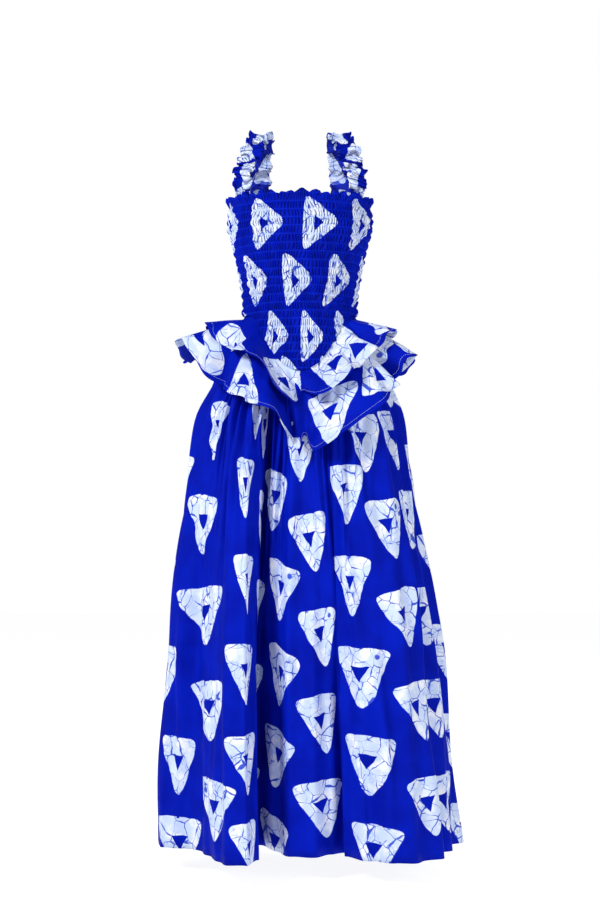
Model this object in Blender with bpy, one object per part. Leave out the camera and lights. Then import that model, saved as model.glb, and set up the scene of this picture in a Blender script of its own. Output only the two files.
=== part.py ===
"""A floor-length sleeveless dress in wax print cotton.

A shirred bodice hangs from two ruffled straps. Its pointed waist seam carries a full gathered skirt and
a peplum of two fluted tiers. Every cut piece is a wall of cloth with its own solid.

Metres, +Z up. The front faces -Y and the viewer's right is +X. The origin is on the dress's axis, level
with the shoulders that carry the straps. Turns go round the dress in degrees, 0 at the front and 90 at
the viewer's right. Heights in the tables are above the floor.
"""

import bmesh
import bpy
import numpy as np


def table(names, rows):
    """A short table as named columns."""
    return dict(zip(names.split(), np.array(rows, dtype=float).T))


# Driving dimensions
SHOULDER_HEIGHT = 1.505
HEM_HEIGHT = 0.050
WAIST_SEAM_HEIGHT = 1.135
POINT_DROP = 0.113
POINT_HALF_TURN = 62.0
BODICE_TOP_FRONT = 1.372
BODICE_TOP_SLOPE = 0.009
FRILL_HEIGHT = 0.014
FRILL_WAVE = 0.005
FRILL_WAVES_A_PANEL = 8
PUCKER_HEIGHT = 0.0028
LOWER_TIER_LENGTH = 0.155
LOWER_TIER_FRONT_EXTRA = 0.032
UPPER_TIER_LENGTH = 0.090
UPPER_TIER_FRONT_EXTRA = 0.012
TIER_FRONT_HALF_TURN = 70.0
SLOPE_DEPTH = 0.18
STRAP_WIDTH = 0.044
STRAP_WAVES = 11
STRAP_EDGE_WAVE = 0.0065
STRAP_MIDDLE_WAVE = 0.002

# Cloth and sewing
WALL = 0.0012
BODICE_WALL = 0.0015
STRAP_WALL = 0.0018
SEAM_GAP = 0.0003
LAYER_GAP = 0.0004
LAYER_STEP = WALL + LAYER_GAP
SKIRT_LAYER = 3.25
TUCK = 0.005
SEAM_DROP = 0.0016
SEAM_BEND = 0.012
STRAP_TUCK = 0.027
STRAP_CLEARANCE = 0.003

# Where the side seams lie
BODICE_SEAMS = (-90.0, 90.0, 270.0)
SKIRT_SEAMS = (-118.0, 62.0, 242.0)

# How the gathers and folds grow down the skirt
GATHERS_A_PANEL = 14
GATHER_DEPTH = 0.0045
GATHER_REACH = 0.15
FOLD_GROWTH = 1.0
SKIRT_EASE_IN = 0.06
HEM_SWAY = 0.022
SWAY_FROM = 0.85

# How finely each wall is divided
BODICE_COLUMNS = 32
BODICE_ROWS_FRONT = 14
BODICE_ROWS_BACK = 11
SKIRT_COLUMNS = 56
TIER_COLUMNS = 40
UPPER_TIER_ROWS = 2
LOWER_TIER_ROWS = 3
STRAP_COLUMNS = 3
STRAP_ROWS = 60
QUADRATURE_STEPS = 16

# The inside of the bodice, and the hips below it
BODY = table("height half_width front back", [
    (1.400, 0.139, 0.100, 0.090),
    (1.360, 0.1425, 0.107, 0.093),
    (1.315, 0.145, 0.121, 0.096),
    (1.277, 0.135, 0.118, 0.095),
    (1.244, 0.127, 0.108, 0.092),
    (1.211, 0.1206, 0.098, 0.088),
    (1.170, 0.1145, 0.088, 0.084),
    (1.135, 0.115, 0.088, 0.085),
    (1.080, 0.128, 0.098, 0.096),
    (1.020, 0.148, 0.110, 0.112),
])

# The skirt without its folds
SKIRT = table("height half_width front back", [
    (1.135, 0.115, 0.088, 0.085),
    (1.080, 0.134, 0.100, 0.104),
    (1.020, 0.160, 0.116, 0.126),
    (0.975, 0.181, 0.131, 0.143),
    (0.940, 0.196, 0.145, 0.156),
    (0.880, 0.211, 0.160, 0.171),
    (0.750, 0.236, 0.178, 0.192),
    (0.620, 0.2565, 0.190, 0.208),
    (0.490, 0.274, 0.200, 0.221),
    (0.350, 0.288, 0.207, 0.232),
    (0.200, 0.302, 0.212, 0.242),
    (0.050, 0.312, 0.216, 0.250),
])

# Where the hem turns at each fold: across the dress, and forward of its axis
HEM_FOLDS = table("turn across forward", [
    (-118, -0.252, -0.118),
    (-108, -0.238, -0.078),
    (-98, -0.292, -0.046),
    (-84, -0.286, 0.030),
    (-68, -0.262, 0.052),
    (-58, -0.212, 0.066),
    (-46, -0.170, 0.165),
    (-37, -0.142, 0.240),
    (-29, -0.106, 0.248),
    (-24, -0.084, 0.185),
    (-18, -0.096, 0.052),
    (-11, -0.052, 0.084),
    (-3, -0.018, 0.150),
    (4, 0.030, 0.151),
    (11, 0.064, 0.126),
    (15, 0.088, 0.104),
    (19, 0.092, 0.148),
    (24, 0.138, 0.196),
    (36, 0.190, 0.220),
    (48, 0.240, 0.206),
    (59, 0.282, 0.170),
    (64, 0.278, 0.098),
    (72, 0.312, 0.074),
    (80, 0.306, 0.020),
    (90, 0.336, -0.020),
    (99, 0.300, -0.062),
    (109, 0.306, -0.128),
    (118, 0.252, -0.134),
    (128, 0.246, -0.204),
    (137, 0.190, -0.182),
    (147, 0.174, -0.246),
    (156, 0.122, -0.204),
    (166, 0.092, -0.270),
    (176, 0.042, -0.214),
    (187, 0.002, -0.272),
    (197, -0.044, -0.208),
    (208, -0.094, -0.262),
    (218, -0.128, -0.188),
    (228, -0.180, -0.216),
    (235, -0.196, -0.148),
    (242, -0.252, -0.118),
])

# The lower tier's flutes: how far each ridge and valley stands off the skirt
LOWER_FLUTES = table("turn lift", [
    (-180, 30), (-168, 9), (-154, 34), (-141, 10), (-127, 38), (-115, 10), (-103, 40), (-90, 30),
    (-76, 52), (-60, 8), (-50, 14), (-40, 22), (-27, 27), (-13, 5), (-3, 13), (7, 5), (20, 20),
    (34, 26), (44, 24), (56, 8), (70, 36), (80, 38), (90, 16), (103, 38), (116, 10), (129, 36),
    (142, 9), (154, 34), (167, 9), (180, 30),
])

# The upper tier's flutes: how far each stands off the lower tier
UPPER_FLUTES = table("turn lift", [
    (-180, 9), (-170, 24), (-159, 9), (-147, 24), (-133, 9), (-120, 24), (-105, 9), (-90, 14),
    (-76, 8), (-62, 12), (-55, 9), (-44, 20), (-34, 24), (-24, 12), (-14, 26), (-4, 8), (8, 30),
    (18, 18), (26, 22), (35, 8), (43, 18), (52, 8), (62, 22), (75, 9), (90, 22), (104, 9),
    (118, 23), (131, 9), (144, 24), (157, 9), (169, 23), (180, 9),
])

# How far the flutes swing round as they fall, as the pointed seam turns them
SWING = table("turn angle", [
    (-180, 0), (-80, 0), (-60, -2), (-48, 4), (-38, 12), (-27, 20), (-13, 13), (0, 4), (10, 0),
    (22, 8), (34, 18), (46, 22), (60, 15), (76, 5), (90, 0), (180, 0),
])

# The middle of the left strap, and which way its width points, seen from above
STRAP = table("along across back height heading", [
    (0.00, -0.124, -0.057, 1.393, -47.0),
    (0.14, -0.114, -0.078, 1.424, -32.0),
    (0.28, -0.101, -0.071, 1.456, -18.0),
    (0.42, -0.090, -0.042, 1.490, -6.0),
    (0.55, -0.079, 0.000, 1.507, 0.0),
    (0.68, -0.078, 0.040, 1.492, 6.0),
    (0.80, -0.080, 0.068, 1.456, 14.0),
    (0.91, -0.084, 0.080, 1.414, 20.0),
    (1.00, -0.087, 0.076, 1.376, 24.0),
])
STRAP_FRONT_TURN = -57.0
STRAP_BACK_TURN = -144.0

CLOTH_COLOUR = (0.004, 0.018, 0.42, 1.0)
CLOTH_ROUGHNESS = 0.72


def up(height):
    """A height above the floor, in the dress's own frame."""
    return height - SHOULDER_HEIGHT


def ease(share):
    """A soft step from 0 to 1."""
    share = np.clip(share, 0.0, 1.0)
    return share * share * (3.0 - 2.0 * share)


def unit(vectors):
    return vectors / np.linalg.norm(vectors, axis=-1, keepdims=True)


def smooth(columns, key, name, where):
    """A smooth curve through one column of a table."""
    places, values = columns[key], columns[name]
    if places[0] > places[-1]:
        places, values = places[::-1], values[::-1]
    slopes = np.gradient(values, places)
    where = np.clip(where, places[0], places[-1])
    row = np.clip(np.searchsorted(places, where) - 1, 0, len(places) - 2)
    span = places[row + 1] - places[row]
    t = (where - places[row]) / span
    start = (1 + 2 * t) * (1 - t) ** 2 * values[row] + t * (1 - t) ** 2 * span * slopes[row]
    end = t * t * (3 - 2 * t) * values[row + 1] + t * t * (t - 1) * span * slopes[row + 1]
    return start + end


def wrapped(turn, first):
    """A turn brought into the full circle that starts at first."""
    return (turn - first) % 360.0 + first


def between(columns, name, turn):
    """One column of a table of ridges and valleys, eased from each row to the next."""
    places, values = columns["turn"], columns[name]
    turn = wrapped(turn, places[0])
    row = np.clip(np.searchsorted(places, turn, side="right") - 1, 0, len(places) - 2)
    share = ease((turn - places[row]) / (places[row + 1] - places[row]))
    return values[row] * (1 - share) + values[row + 1] * share


def oval(sections, turn, height):
    """A point on the level oval of a table of sections, and the way out from it."""
    angle = np.radians(turn)
    half_width = smooth(sections, "height", "half_width", height)
    side = np.where(np.cos(angle) > 0, smooth(sections, "height", "front", height),
                    smooth(sections, "height", "back", height))
    level = up(height) + np.zeros_like(angle)
    point = np.stack([half_width * np.sin(angle), -side * np.cos(angle), level], axis=-1)
    out = unit(np.stack([np.sin(angle) / half_width, -np.cos(angle) / side, 0 * angle], axis=-1))
    return point, out


def point_share(turn):
    """How near a turn is to the seam's point, from 0 at the sides to 1."""
    turn = wrapped(turn, -180.0)
    return 0.5 + 0.5 * np.cos(np.pi * np.clip(turn / POINT_HALF_TURN, -1.0, 1.0))


def seam_height(turn):
    return WAIST_SEAM_HEIGHT - POINT_DROP * point_share(turn)


def bodice_top(turn):
    return BODICE_TOP_FRONT - BODICE_TOP_SLOPE * (1.0 - np.cos(np.radians(turn)))


def bodice(turn, share):
    """The bodice's inside, from its frill's edge at share 0 to the waist seam at 1."""
    top = bodice_top(turn) + FRILL_HEIGHT
    height = top + (seam_height(turn) - top) * share
    point, out = oval(BODY, turn, height)
    above = np.clip((height - bodice_top(turn)) / FRILL_HEIGHT, 0.0, 1.0)
    wave = 0.5 + 0.5 * np.cos(np.radians(turn) * 2 * FRILL_WAVES_A_PANEL)
    return point + out * (above * FRILL_WAVE * wave)[..., None]


def tucked(turn, height, layer):
    """The inside of a layer's edge where it is tucked up behind the bodice's wall."""
    point, out = oval(BODY, turn, height)
    return point - out * LAYER_STEP * layer


def sway(height):
    """How far the skirt hangs towards the viewer's right."""
    return HEM_SWAY * np.clip((SWAY_FROM - height) / (SWAY_FROM - HEM_HEIGHT), 0.0, 1.0) ** 1.4


def fold_shift(turn):
    """How far the folds move the hem from its plain oval."""
    angle = np.radians(HEM_FOLDS["turn"])
    depth = np.where(np.cos(angle) > 0, SKIRT["front"][-1], SKIRT["back"][-1])
    plain = {
        "turn": HEM_FOLDS["turn"],
        "across": HEM_FOLDS["across"] - HEM_SWAY - SKIRT["half_width"][-1] * np.sin(angle),
        "forward": HEM_FOLDS["forward"] - depth * np.cos(angle),
    }
    across = between(plain, "across", turn)
    return np.stack([across, -between(plain, "forward", turn), 0 * across], axis=-1)


def hem_measure():
    """Turns round the hem, the cloth's length up to each from the left seam, and an even spread of both."""
    turns = np.linspace(SKIRT_SEAMS[0], SKIRT_SEAMS[2], 3601)
    ring = oval(SKIRT, turns, HEM_HEIGHT)[0] + fold_shift(turns)
    steps = np.linalg.norm(np.diff(ring, axis=0), axis=1)
    lengths = np.concatenate([[0.0], np.cumsum(steps)])
    return turns, lengths, lengths / lengths[-1] + (turns - turns[0]) / 360.0


HEM_TURNS, HEM_LENGTHS, HEM_SPREAD = hem_measure()


def gather_wave(turn):
    """The gathers' wave, so many in each panel."""
    spread = np.interp(wrapped(turn, SKIRT_SEAMS[0]), HEM_TURNS, HEM_SPREAD)
    seam = np.interp(SKIRT_SEAMS[1], HEM_TURNS, HEM_SPREAD)
    share = np.where(spread < seam, spread / seam, 1.0 + (spread - seam) / (HEM_SPREAD[-1] - seam))
    return np.cos(2 * np.pi * GATHERS_A_PANEL * share)


def skirt(turn, height):
    """The inside of the skirt."""
    seam = seam_height(turn)
    fallen = np.maximum(seam - height, 0.0)
    plain, out = oval(SKIRT, turn, np.minimum(height, seam))
    top = tucked(turn, np.maximum(height, BODY["height"][-1]), SKIRT_LAYER)
    share = ease((fallen - SEAM_DROP * 3) / SKIRT_EASE_IN)[..., None]
    point = top * (1 - share) + plain * share
    point[..., 2] = up(height)
    folds = (fallen / (seam - HEM_HEIGHT)) ** FOLD_GROWTH * ease(fallen / SKIRT_EASE_IN)
    reach = fallen / GATHER_REACH
    gathers = GATHER_DEPTH * reach * np.exp(1.0 - reach) * gather_wave(turn)
    point = point + folds[..., None] * fold_shift(turn) + out * gathers[..., None]
    point[..., 0] += sway(height)
    return point


def skirt_slope(turn):
    """How steeply the plain skirt leaves the seam, as an angle from the vertical."""
    seam = seam_height(turn)
    start, out = oval(BODY, turn, seam)
    below = oval(SKIRT, turn, seam - SLOPE_DEPTH)[0]
    return np.arctan2(np.sum((below - start) * out, axis=-1), SLOPE_DEPTH)


def tier_length(turn, layer):
    """A tier's length from the seam to its hem, longer over the front."""
    front = ease(2.0 * (1.0 - np.abs(wrapped(turn, -180.0)) / TIER_FRONT_HALF_TURN))
    if layer == 1:
        return UPPER_TIER_LENGTH + UPPER_TIER_FRONT_EXTRA * front
    return LOWER_TIER_LENGTH + LOWER_TIER_FRONT_EXTRA * front


def tier(turn, fallen, layer):
    """The inside of a peplum tier at a length below the seam. Layer 2 is the lower tier, 1 the upper."""
    seam = seam_height(turn)
    drop = SEAM_DROP * layer
    point = tucked(turn, seam - np.minimum(fallen, drop), layer)
    out = oval(BODY, turn, seam)[1]
    round_way = np.stack([-out[..., 1], out[..., 0], 0 * out[..., 2]], axis=-1)
    down = np.array([0.0, 0.0, -1.0])
    lift = between(LOWER_FLUTES, "lift", turn)
    if layer == 1:
        lift = lift + between(UPPER_FLUTES, "lift", turn)
    slope = skirt_slope(turn)
    turned = np.radians(between(SWING, "angle", turn))
    below = np.maximum(fallen - drop, 0.0)
    for step in range(QUADRATURE_STEPS):
        at = below * (step + 0.5) / QUADRATURE_STEPS
        angle = (slope + np.radians(lift) * ease(at / SEAM_BEND)) * (1.08 - 0.9 * at)
        swing = turned * ease(at / 0.06)
        outward = (np.cos(swing) * np.sin(angle))[..., None] * out
        downward = (np.cos(swing) * np.cos(angle))[..., None] * down
        sideways = np.sin(swing)[..., None] * round_way
        point = point + (outward + downward + sideways) * (below / QUADRATURE_STEPS)[..., None]
    return point


def strap(along, across, side):
    """The underside of a strap. Along runs from its front end to its back end, across from -1 to 1."""
    share = np.clip((along - 0.08) / 0.84, 0.0, 1.0)
    middle = np.stack([smooth(STRAP, "along", "across", share), smooth(STRAP, "along", "back", share),
                       up(smooth(STRAP, "along", "height", share))], axis=-1)
    heading = np.radians(smooth(STRAP, "along", "heading", share))
    width_way = np.stack([np.cos(heading), np.sin(heading), 0 * heading], axis=-1)
    step = 0.01
    ahead = np.clip(share + step, 0.0, 1.0)
    behind = np.clip(share - step, 0.0, 1.0)
    run = np.stack([smooth(STRAP, "along", name, ahead) - smooth(STRAP, "along", name, behind)
                    for name in ("across", "back", "height")], axis=-1)
    out = unit(np.cross(unit(run), width_way))
    edge = np.abs(across)
    depth = STRAP_MIDDLE_WAVE + (STRAP_EDGE_WAVE - STRAP_MIDDLE_WAVE) * edge
    settle = ease(share / 0.08) * ease((1.0 - share) / 0.08)
    wave = np.cos(2 * np.pi * STRAP_WAVES * share + 1.3 * across)
    free = middle + width_way * (across * STRAP_WIDTH / 2)[..., None]
    free = free + out * (settle * (0.5 + depth / STRAP_EDGE_WAVE) * depth * wave)[..., None]

    at_front = share < 0.5
    end_turn = np.where(at_front, STRAP_FRONT_TURN, STRAP_BACK_TURN)
    into = np.where(at_front, 0.08 - along, along - 0.92) / 0.08
    radius = smooth(BODY, "height", "half_width", BODICE_TOP_FRONT) * 0.82
    turn = end_turn + np.where(at_front, 1, -1) * np.degrees(across * STRAP_WIDTH / 2 / radius)
    height = bodice_top(turn) + FRILL_HEIGHT + STRAP_CLEARANCE - STRAP_TUCK * np.clip(into, 0.0, 1.0)
    behind_wall, wall_out = oval(BODY, turn, height)
    behind_wall = behind_wall - wall_out * (STRAP_WALL + SEAM_GAP)
    hold = ease(1.0 - np.minimum(share, 1.0 - share) / 0.10)[..., None]
    point = free * (1 - hold) + behind_wall * hold
    return point * np.array([side, 1.0, 1.0])


def facing(surface, first, second, step=1e-4):
    """The way out of a surface, square to it at every point."""
    one = surface(first + step, second) - surface(first - step, second)
    two = surface(first, second + step) - surface(first, second - step)
    return unit(np.cross(two, one))


def wall_facing(surface, first, second, inside):
    """The way out at every point of a wall, from its neighbours, and at its side edges from the surface."""
    out = unit(np.cross(np.gradient(inside, axis=1), np.gradient(inside, axis=0)))
    exact = facing(surface, first, second)
    out = out * np.sign(np.sum(out * exact, axis=-1, keepdims=True))
    out[[0, -1]] = exact[[0, -1]]
    return out


def cloth_wall(name, inside, outside, peaks=None):
    """A closed wall of cloth from the grids of its inside and outside. Peaks raise the outside's cells."""
    columns, rows = inside.shape[:2]
    count = columns * rows

    def at(column, row, layer):
        return layer * count + column * rows + row

    points = np.concatenate([inside.reshape(-1, 3), outside.reshape(-1, 3)])
    if peaks is not None:
        points = np.concatenate([points, peaks.reshape(-1, 3)])
    first_diagonal = np.linalg.norm(inside[1:, 1:] - inside[:-1, :-1], axis=-1)
    second_diagonal = np.linalg.norm(inside[1:, :-1] - inside[:-1, 1:], axis=-1)
    faces = []
    for column in range(columns - 1):
        for row in range(rows - 1):
            corners = [(column, row), (column, row + 1), (column + 1, row + 1), (column + 1, row)]
            if first_diagonal[column, row] > second_diagonal[column, row]:
                corners = corners[1:] + corners[:1]
            inner = [at(*corner, 0) for corner in corners]
            outer = [at(*corner, 1) for corner in corners]
            faces.extend([[inner[2], inner[1], inner[0]], [inner[3], inner[2], inner[0]]])
            if peaks is None:
                faces.extend([[outer[0], outer[1], outer[2]], [outer[0], outer[2], outer[3]]])
            else:
                peak = 2 * count + column * (rows - 1) + row
                faces.extend([outer[k], outer[(k + 1) % 4], peak] for k in range(4))
    border = [(column, 0) for column in range(columns)]
    border += [(columns - 1, row) for row in range(1, rows)]
    border += [(column, rows - 1) for column in range(columns - 2, -1, -1)]
    border += [(0, row) for row in range(rows - 2, 0, -1)]
    for here, there in zip(border, border[1:] + border[:1]):
        faces.append([at(*here, 0), at(*there, 0), at(*there, 1), at(*here, 1)])

    mesh = bpy.data.meshes.new(name)
    mesh.from_pydata(points.tolist(), [], faces)
    whole = bmesh.new()
    whole.from_mesh(mesh)
    bmesh.ops.recalc_face_normals(whole, faces=whole.faces)
    whole.to_mesh(mesh)
    whole.free()
    piece = bpy.data.objects.new(name, mesh)
    piece.data.materials.append(cloth_material(name))
    bpy.data.collections["ankara_dress"].objects.link(piece)
    return piece


def cloth_material(name):
    material = bpy.data.materials.new(name + "_cotton")
    material.use_nodes = True
    shader = material.node_tree.nodes["Principled BSDF"]
    shader.inputs["Base Color"].default_value = CLOTH_COLOUR
    shader.inputs["Roughness"].default_value = CLOTH_ROUGHNESS
    shader.inputs["Metallic"].default_value = 0.0
    return material


def part_edges(surface, turn, second, inside, outside, step=1e-3):
    """Draw a panel's two side edges back by half a seam's gap, both along the same line."""
    for edge, side in ((0, 1), (-1, -1)):
        line = surface(turn[edge] + step, second[edge]) - surface(turn[edge] - step, second[edge])
        inside[edge] += unit(line) * side * SEAM_GAP / 2
        outside[edge] += unit(line) * side * SEAM_GAP / 2


def build_bodice(name, first_turn, last_turn, rows):
    turns = np.linspace(first_turn, last_turn, BODICE_COLUMNS + 1)
    frill_share = FRILL_HEIGHT / (BODICE_TOP_FRONT + FRILL_HEIGHT - WAIST_SEAM_HEIGHT)
    shares = np.concatenate([[0.0], np.linspace(frill_share, 1.0, rows)])
    turn, share = np.meshgrid(turns, shares, indexing="ij")
    inside = bodice(turn, share)
    out = facing(bodice, turn, share)
    outside = inside + out * BODICE_WALL
    part_edges(bodice, turn, share, inside, outside)
    middle = (outside[:-1, :-1] + outside[1:, :-1] + outside[1:, 1:] + outside[:-1, 1:]) / 4
    raised = np.full(middle.shape[:2], PUCKER_HEIGHT)
    raised[:, 0] = 0.0
    cloth_wall(name, inside, outside, middle + out[:-1, :-1] * raised[..., None])


def build_skirt(name, first_turn, last_turn):
    first, last = np.interp([first_turn, last_turn], HEM_TURNS, HEM_SPREAD)
    turns = np.interp(np.linspace(first, last, SKIRT_COLUMNS + 1), HEM_SPREAD, HEM_TURNS)
    shares = np.array([0.10, 0.18, 0.30, 0.48, 0.72, 1.0])
    turn, share = np.meshgrid(turns, shares, indexing="ij")
    starts = np.array([-TUCK, SEAM_DROP * 3, 0.016, 0.042]) * np.ones((len(turns), 1))
    fallen = np.concatenate([starts, share * (seam_height(turn) - HEM_HEIGHT)], axis=1)
    turn = turns[:, None] * np.ones((1, fallen.shape[1]))
    height = seam_height(turn) - fallen
    inside = skirt(turn, height)
    outside = inside + wall_facing(skirt, turn, height, inside) * -WALL
    part_edges(skirt, turn, height, inside, outside)
    cloth_wall(name, inside, outside)


def build_tier(name, first_turn, last_turn, layer, rows):
    turns = np.linspace(first_turn, last_turn, TIER_COLUMNS + 1)
    shares = np.linspace(0.0, 1.0, rows + 1)[1:]
    turn, share = np.meshgrid(turns, shares, indexing="ij")
    fallen = share * tier_length(turn, layer)
    bends = SEAM_DROP * layer + SEAM_BEND * np.array([0.0, 0.6, 1.2])
    starts = np.concatenate([[-TUCK], bends]) * np.ones((len(turns), 1))
    fallen = np.concatenate([starts, fallen], axis=1)
    turn = turns[:, None] * np.ones((1, fallen.shape[1]))

    def surface(turn, fallen):
        return tier(turn, fallen, layer)

    inside = surface(turn, fallen)
    outside = inside + facing(surface, turn, fallen) * WALL
    part_edges(surface, turn, fallen, inside, outside)
    cloth_wall(name, inside, outside)


def build_strap(name, side):
    along, across = np.meshgrid(np.linspace(0.0, 1.0, STRAP_ROWS + 1),
                                np.linspace(-1.0, 1.0, STRAP_COLUMNS + 1), indexing="ij")

    def surface(along, across):
        return strap(along, across, side)

    inside = surface(along, across)
    outside = inside + facing(surface, along, across) * STRAP_WALL * -side
    cloth_wall(name, inside, outside)


def build_dress():
    for old in list(bpy.data.objects):
        bpy.data.objects.remove(old, do_unlink=True)
    dress = bpy.data.collections.new("ankara_dress")
    bpy.context.scene.collection.children.link(dress)
    left, right, round_again = BODICE_SEAMS
    build_bodice("bodice_front", left, right, BODICE_ROWS_FRONT)
    build_bodice("bodice_back", right, round_again, BODICE_ROWS_BACK)
    build_strap("strap_left", 1)
    build_strap("strap_right", -1)
    build_tier("peplum_upper_front", left, right, 1, UPPER_TIER_ROWS)
    build_tier("peplum_upper_back", right, round_again, 1, UPPER_TIER_ROWS)
    build_tier("peplum_lower_front", left, right, 2, LOWER_TIER_ROWS)
    build_tier("peplum_lower_back", right, round_again, 2, LOWER_TIER_ROWS)
    left, right, round_again = SKIRT_SEAMS
    build_skirt("skirt_front", left, right)
    build_skirt("skirt_back", right, round_again)


build_dress()
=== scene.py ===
"""The looks of a floor-length sleeveless dress in wax print cotton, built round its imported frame.

A shirred bodice hangs from two ruffled straps. Its pointed waist seam carries a full gathered skirt and
a peplum of two fluted tiers. Each cut piece is a thin shell of cloth on its solid's form, with its
gathers, puckers and folds, and the print is drawn by formula in the cloth's own flat measure.

Metres, +Z up. The front faces -Y and the viewer's right is +X. Turns go round the dress in degrees, 0 at
the front and 90 at the viewer's right. Heights in the tables are above the floor.
"""

import bpy
import numpy as np
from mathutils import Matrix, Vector


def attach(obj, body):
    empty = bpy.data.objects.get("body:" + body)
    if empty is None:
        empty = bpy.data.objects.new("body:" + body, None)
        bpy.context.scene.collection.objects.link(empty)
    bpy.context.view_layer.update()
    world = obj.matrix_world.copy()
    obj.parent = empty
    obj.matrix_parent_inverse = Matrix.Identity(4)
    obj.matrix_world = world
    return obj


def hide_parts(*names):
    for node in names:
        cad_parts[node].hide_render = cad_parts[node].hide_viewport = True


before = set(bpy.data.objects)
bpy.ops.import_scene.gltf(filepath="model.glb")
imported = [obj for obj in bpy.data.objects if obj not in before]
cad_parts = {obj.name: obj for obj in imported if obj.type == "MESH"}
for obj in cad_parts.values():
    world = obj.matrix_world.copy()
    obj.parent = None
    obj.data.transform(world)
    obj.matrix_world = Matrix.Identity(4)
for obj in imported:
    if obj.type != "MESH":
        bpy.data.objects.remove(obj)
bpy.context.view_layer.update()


def table(names, rows):
    """A short table as named columns."""
    return dict(zip(names.split(), np.array(rows, dtype=float).T))


# Driving dimensions
SHOULDER_HEIGHT = 1.505
HEM_HEIGHT = 0.050
WAIST_SEAM_HEIGHT = 1.135
POINT_DROP = 0.113
POINT_HALF_TURN = 62.0
BODICE_TOP_FRONT = 1.372
BODICE_TOP_SLOPE = 0.009
FRILL_HEIGHT = 0.014
LOWER_TIER_LENGTH = 0.155
LOWER_TIER_FRONT_EXTRA = 0.032
UPPER_TIER_LENGTH = 0.090
UPPER_TIER_FRONT_EXTRA = 0.012
TIER_FRONT_HALF_TURN = 70.0
SLOPE_DEPTH = 0.18
STRAP_WIDTH = 0.044
STRAP_WAVES = 11
STRAP_EDGE_WAVE = 0.0055
STRAP_MIDDLE_WAVE = 0.002

# Cloth and sewing
WALL = 0.0012
STRAP_WALL = 0.0018
SEAM_GAP = 0.0003
LAYER_GAP = 0.0004
LAYER_STEP = WALL + LAYER_GAP
SKIRT_LAYER = 3.25
TUCK = 0.005
SEAM_DROP = 0.0016
SKIRT_DROP = SEAM_DROP * 3
SEAM_BEND = 0.012
STRAP_TUCK = 0.027
STRAP_CLEARANCE = 0.003

# Where the side seams lie
BODICE_SEAMS = (-90.0, 90.0, 270.0)
SKIRT_SEAMS = (-118.0, 62.0, 242.0)

# How the gathers and folds grow down the skirt
GATHERS_A_PANEL = 14
GATHER_DEPTH = 0.0045
GATHER_REACH = 0.15
SKIRT_EASE_IN = 0.06
HEM_SWAY = 0.022
SWAY_FROM = 0.85
SWAY_BEND = 1.4

# How a tier falls: its slope's factor at the seam and what that loses in a metre, the length in which its
# flutes take up their swing, and the steps in which its fall is summed
TIER_SLOPE_FACTOR = 1.08
TIER_SLOPE_LOSS = 0.9
SWING_REACH = 0.06
FALL_STEPS = 16

# The inside of the bodice, and the hips below it
BODY = table("height half_width front back", [
    (1.400, 0.139, 0.100, 0.090),
    (1.360, 0.1425, 0.107, 0.093),
    (1.315, 0.145, 0.121, 0.096),
    (1.277, 0.135, 0.118, 0.095),
    (1.244, 0.127, 0.108, 0.092),
    (1.211, 0.1206, 0.098, 0.088),
    (1.170, 0.1145, 0.088, 0.084),
    (1.135, 0.115, 0.088, 0.085),
    (1.080, 0.128, 0.098, 0.096),
    (1.020, 0.148, 0.110, 0.112),
])

# The skirt without its folds
SKIRT = table("height half_width front back", [
    (1.135, 0.115, 0.088, 0.085),
    (1.080, 0.134, 0.100, 0.104),
    (1.020, 0.160, 0.116, 0.126),
    (0.975, 0.181, 0.131, 0.143),
    (0.940, 0.196, 0.145, 0.156),
    (0.880, 0.211, 0.160, 0.171),
    (0.750, 0.236, 0.178, 0.192),
    (0.620, 0.2565, 0.190, 0.208),
    (0.490, 0.274, 0.200, 0.221),
    (0.350, 0.288, 0.207, 0.232),
    (0.200, 0.302, 0.212, 0.242),
    (0.050, 0.312, 0.216, 0.250),
])

# Where the hem turns at each fold: across the dress, and forward of its axis
HEM_FOLDS = table("turn across forward", [
    (-118, -0.252, -0.118),
    (-108, -0.238, -0.078),
    (-98, -0.292, -0.046),
    (-84, -0.286, 0.030),
    (-68, -0.262, 0.052),
    (-58, -0.212, 0.066),
    (-46, -0.170, 0.165),
    (-37, -0.142, 0.240),
    (-29, -0.106, 0.248),
    (-24, -0.084, 0.185),
    (-18, -0.096, 0.052),
    (-11, -0.052, 0.084),
    (-3, -0.018, 0.150),
    (4, 0.030, 0.151),
    (11, 0.064, 0.126),
    (15, 0.088, 0.104),
    (19, 0.092, 0.148),
    (24, 0.138, 0.196),
    (36, 0.190, 0.220),
    (48, 0.240, 0.206),
    (59, 0.282, 0.170),
    (64, 0.278, 0.098),
    (72, 0.312, 0.074),
    (80, 0.306, 0.020),
    (90, 0.336, -0.020),
    (99, 0.300, -0.062),
    (109, 0.306, -0.128),
    (118, 0.252, -0.134),
    (128, 0.246, -0.204),
    (137, 0.190, -0.182),
    (147, 0.174, -0.246),
    (156, 0.122, -0.204),
    (166, 0.092, -0.270),
    (176, 0.042, -0.214),
    (187, 0.002, -0.272),
    (197, -0.044, -0.208),
    (208, -0.094, -0.262),
    (218, -0.128, -0.188),
    (228, -0.180, -0.216),
    (235, -0.196, -0.148),
    (242, -0.252, -0.118),
])

# The lower tier's flutes: how far each ridge and valley stands off the skirt
LOWER_FLUTES = table("turn lift", [
    (-180, 30), (-168, 9), (-154, 34), (-141, 10), (-127, 38), (-115, 10), (-103, 40), (-90, 30),
    (-76, 52), (-60, 8), (-50, 14), (-40, 22), (-27, 27), (-13, 5), (-3, 13), (7, 5), (20, 20),
    (34, 26), (44, 24), (56, 8), (70, 36), (80, 38), (90, 16), (103, 38), (116, 10), (129, 36),
    (142, 9), (154, 34), (167, 9), (180, 30),
])

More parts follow.
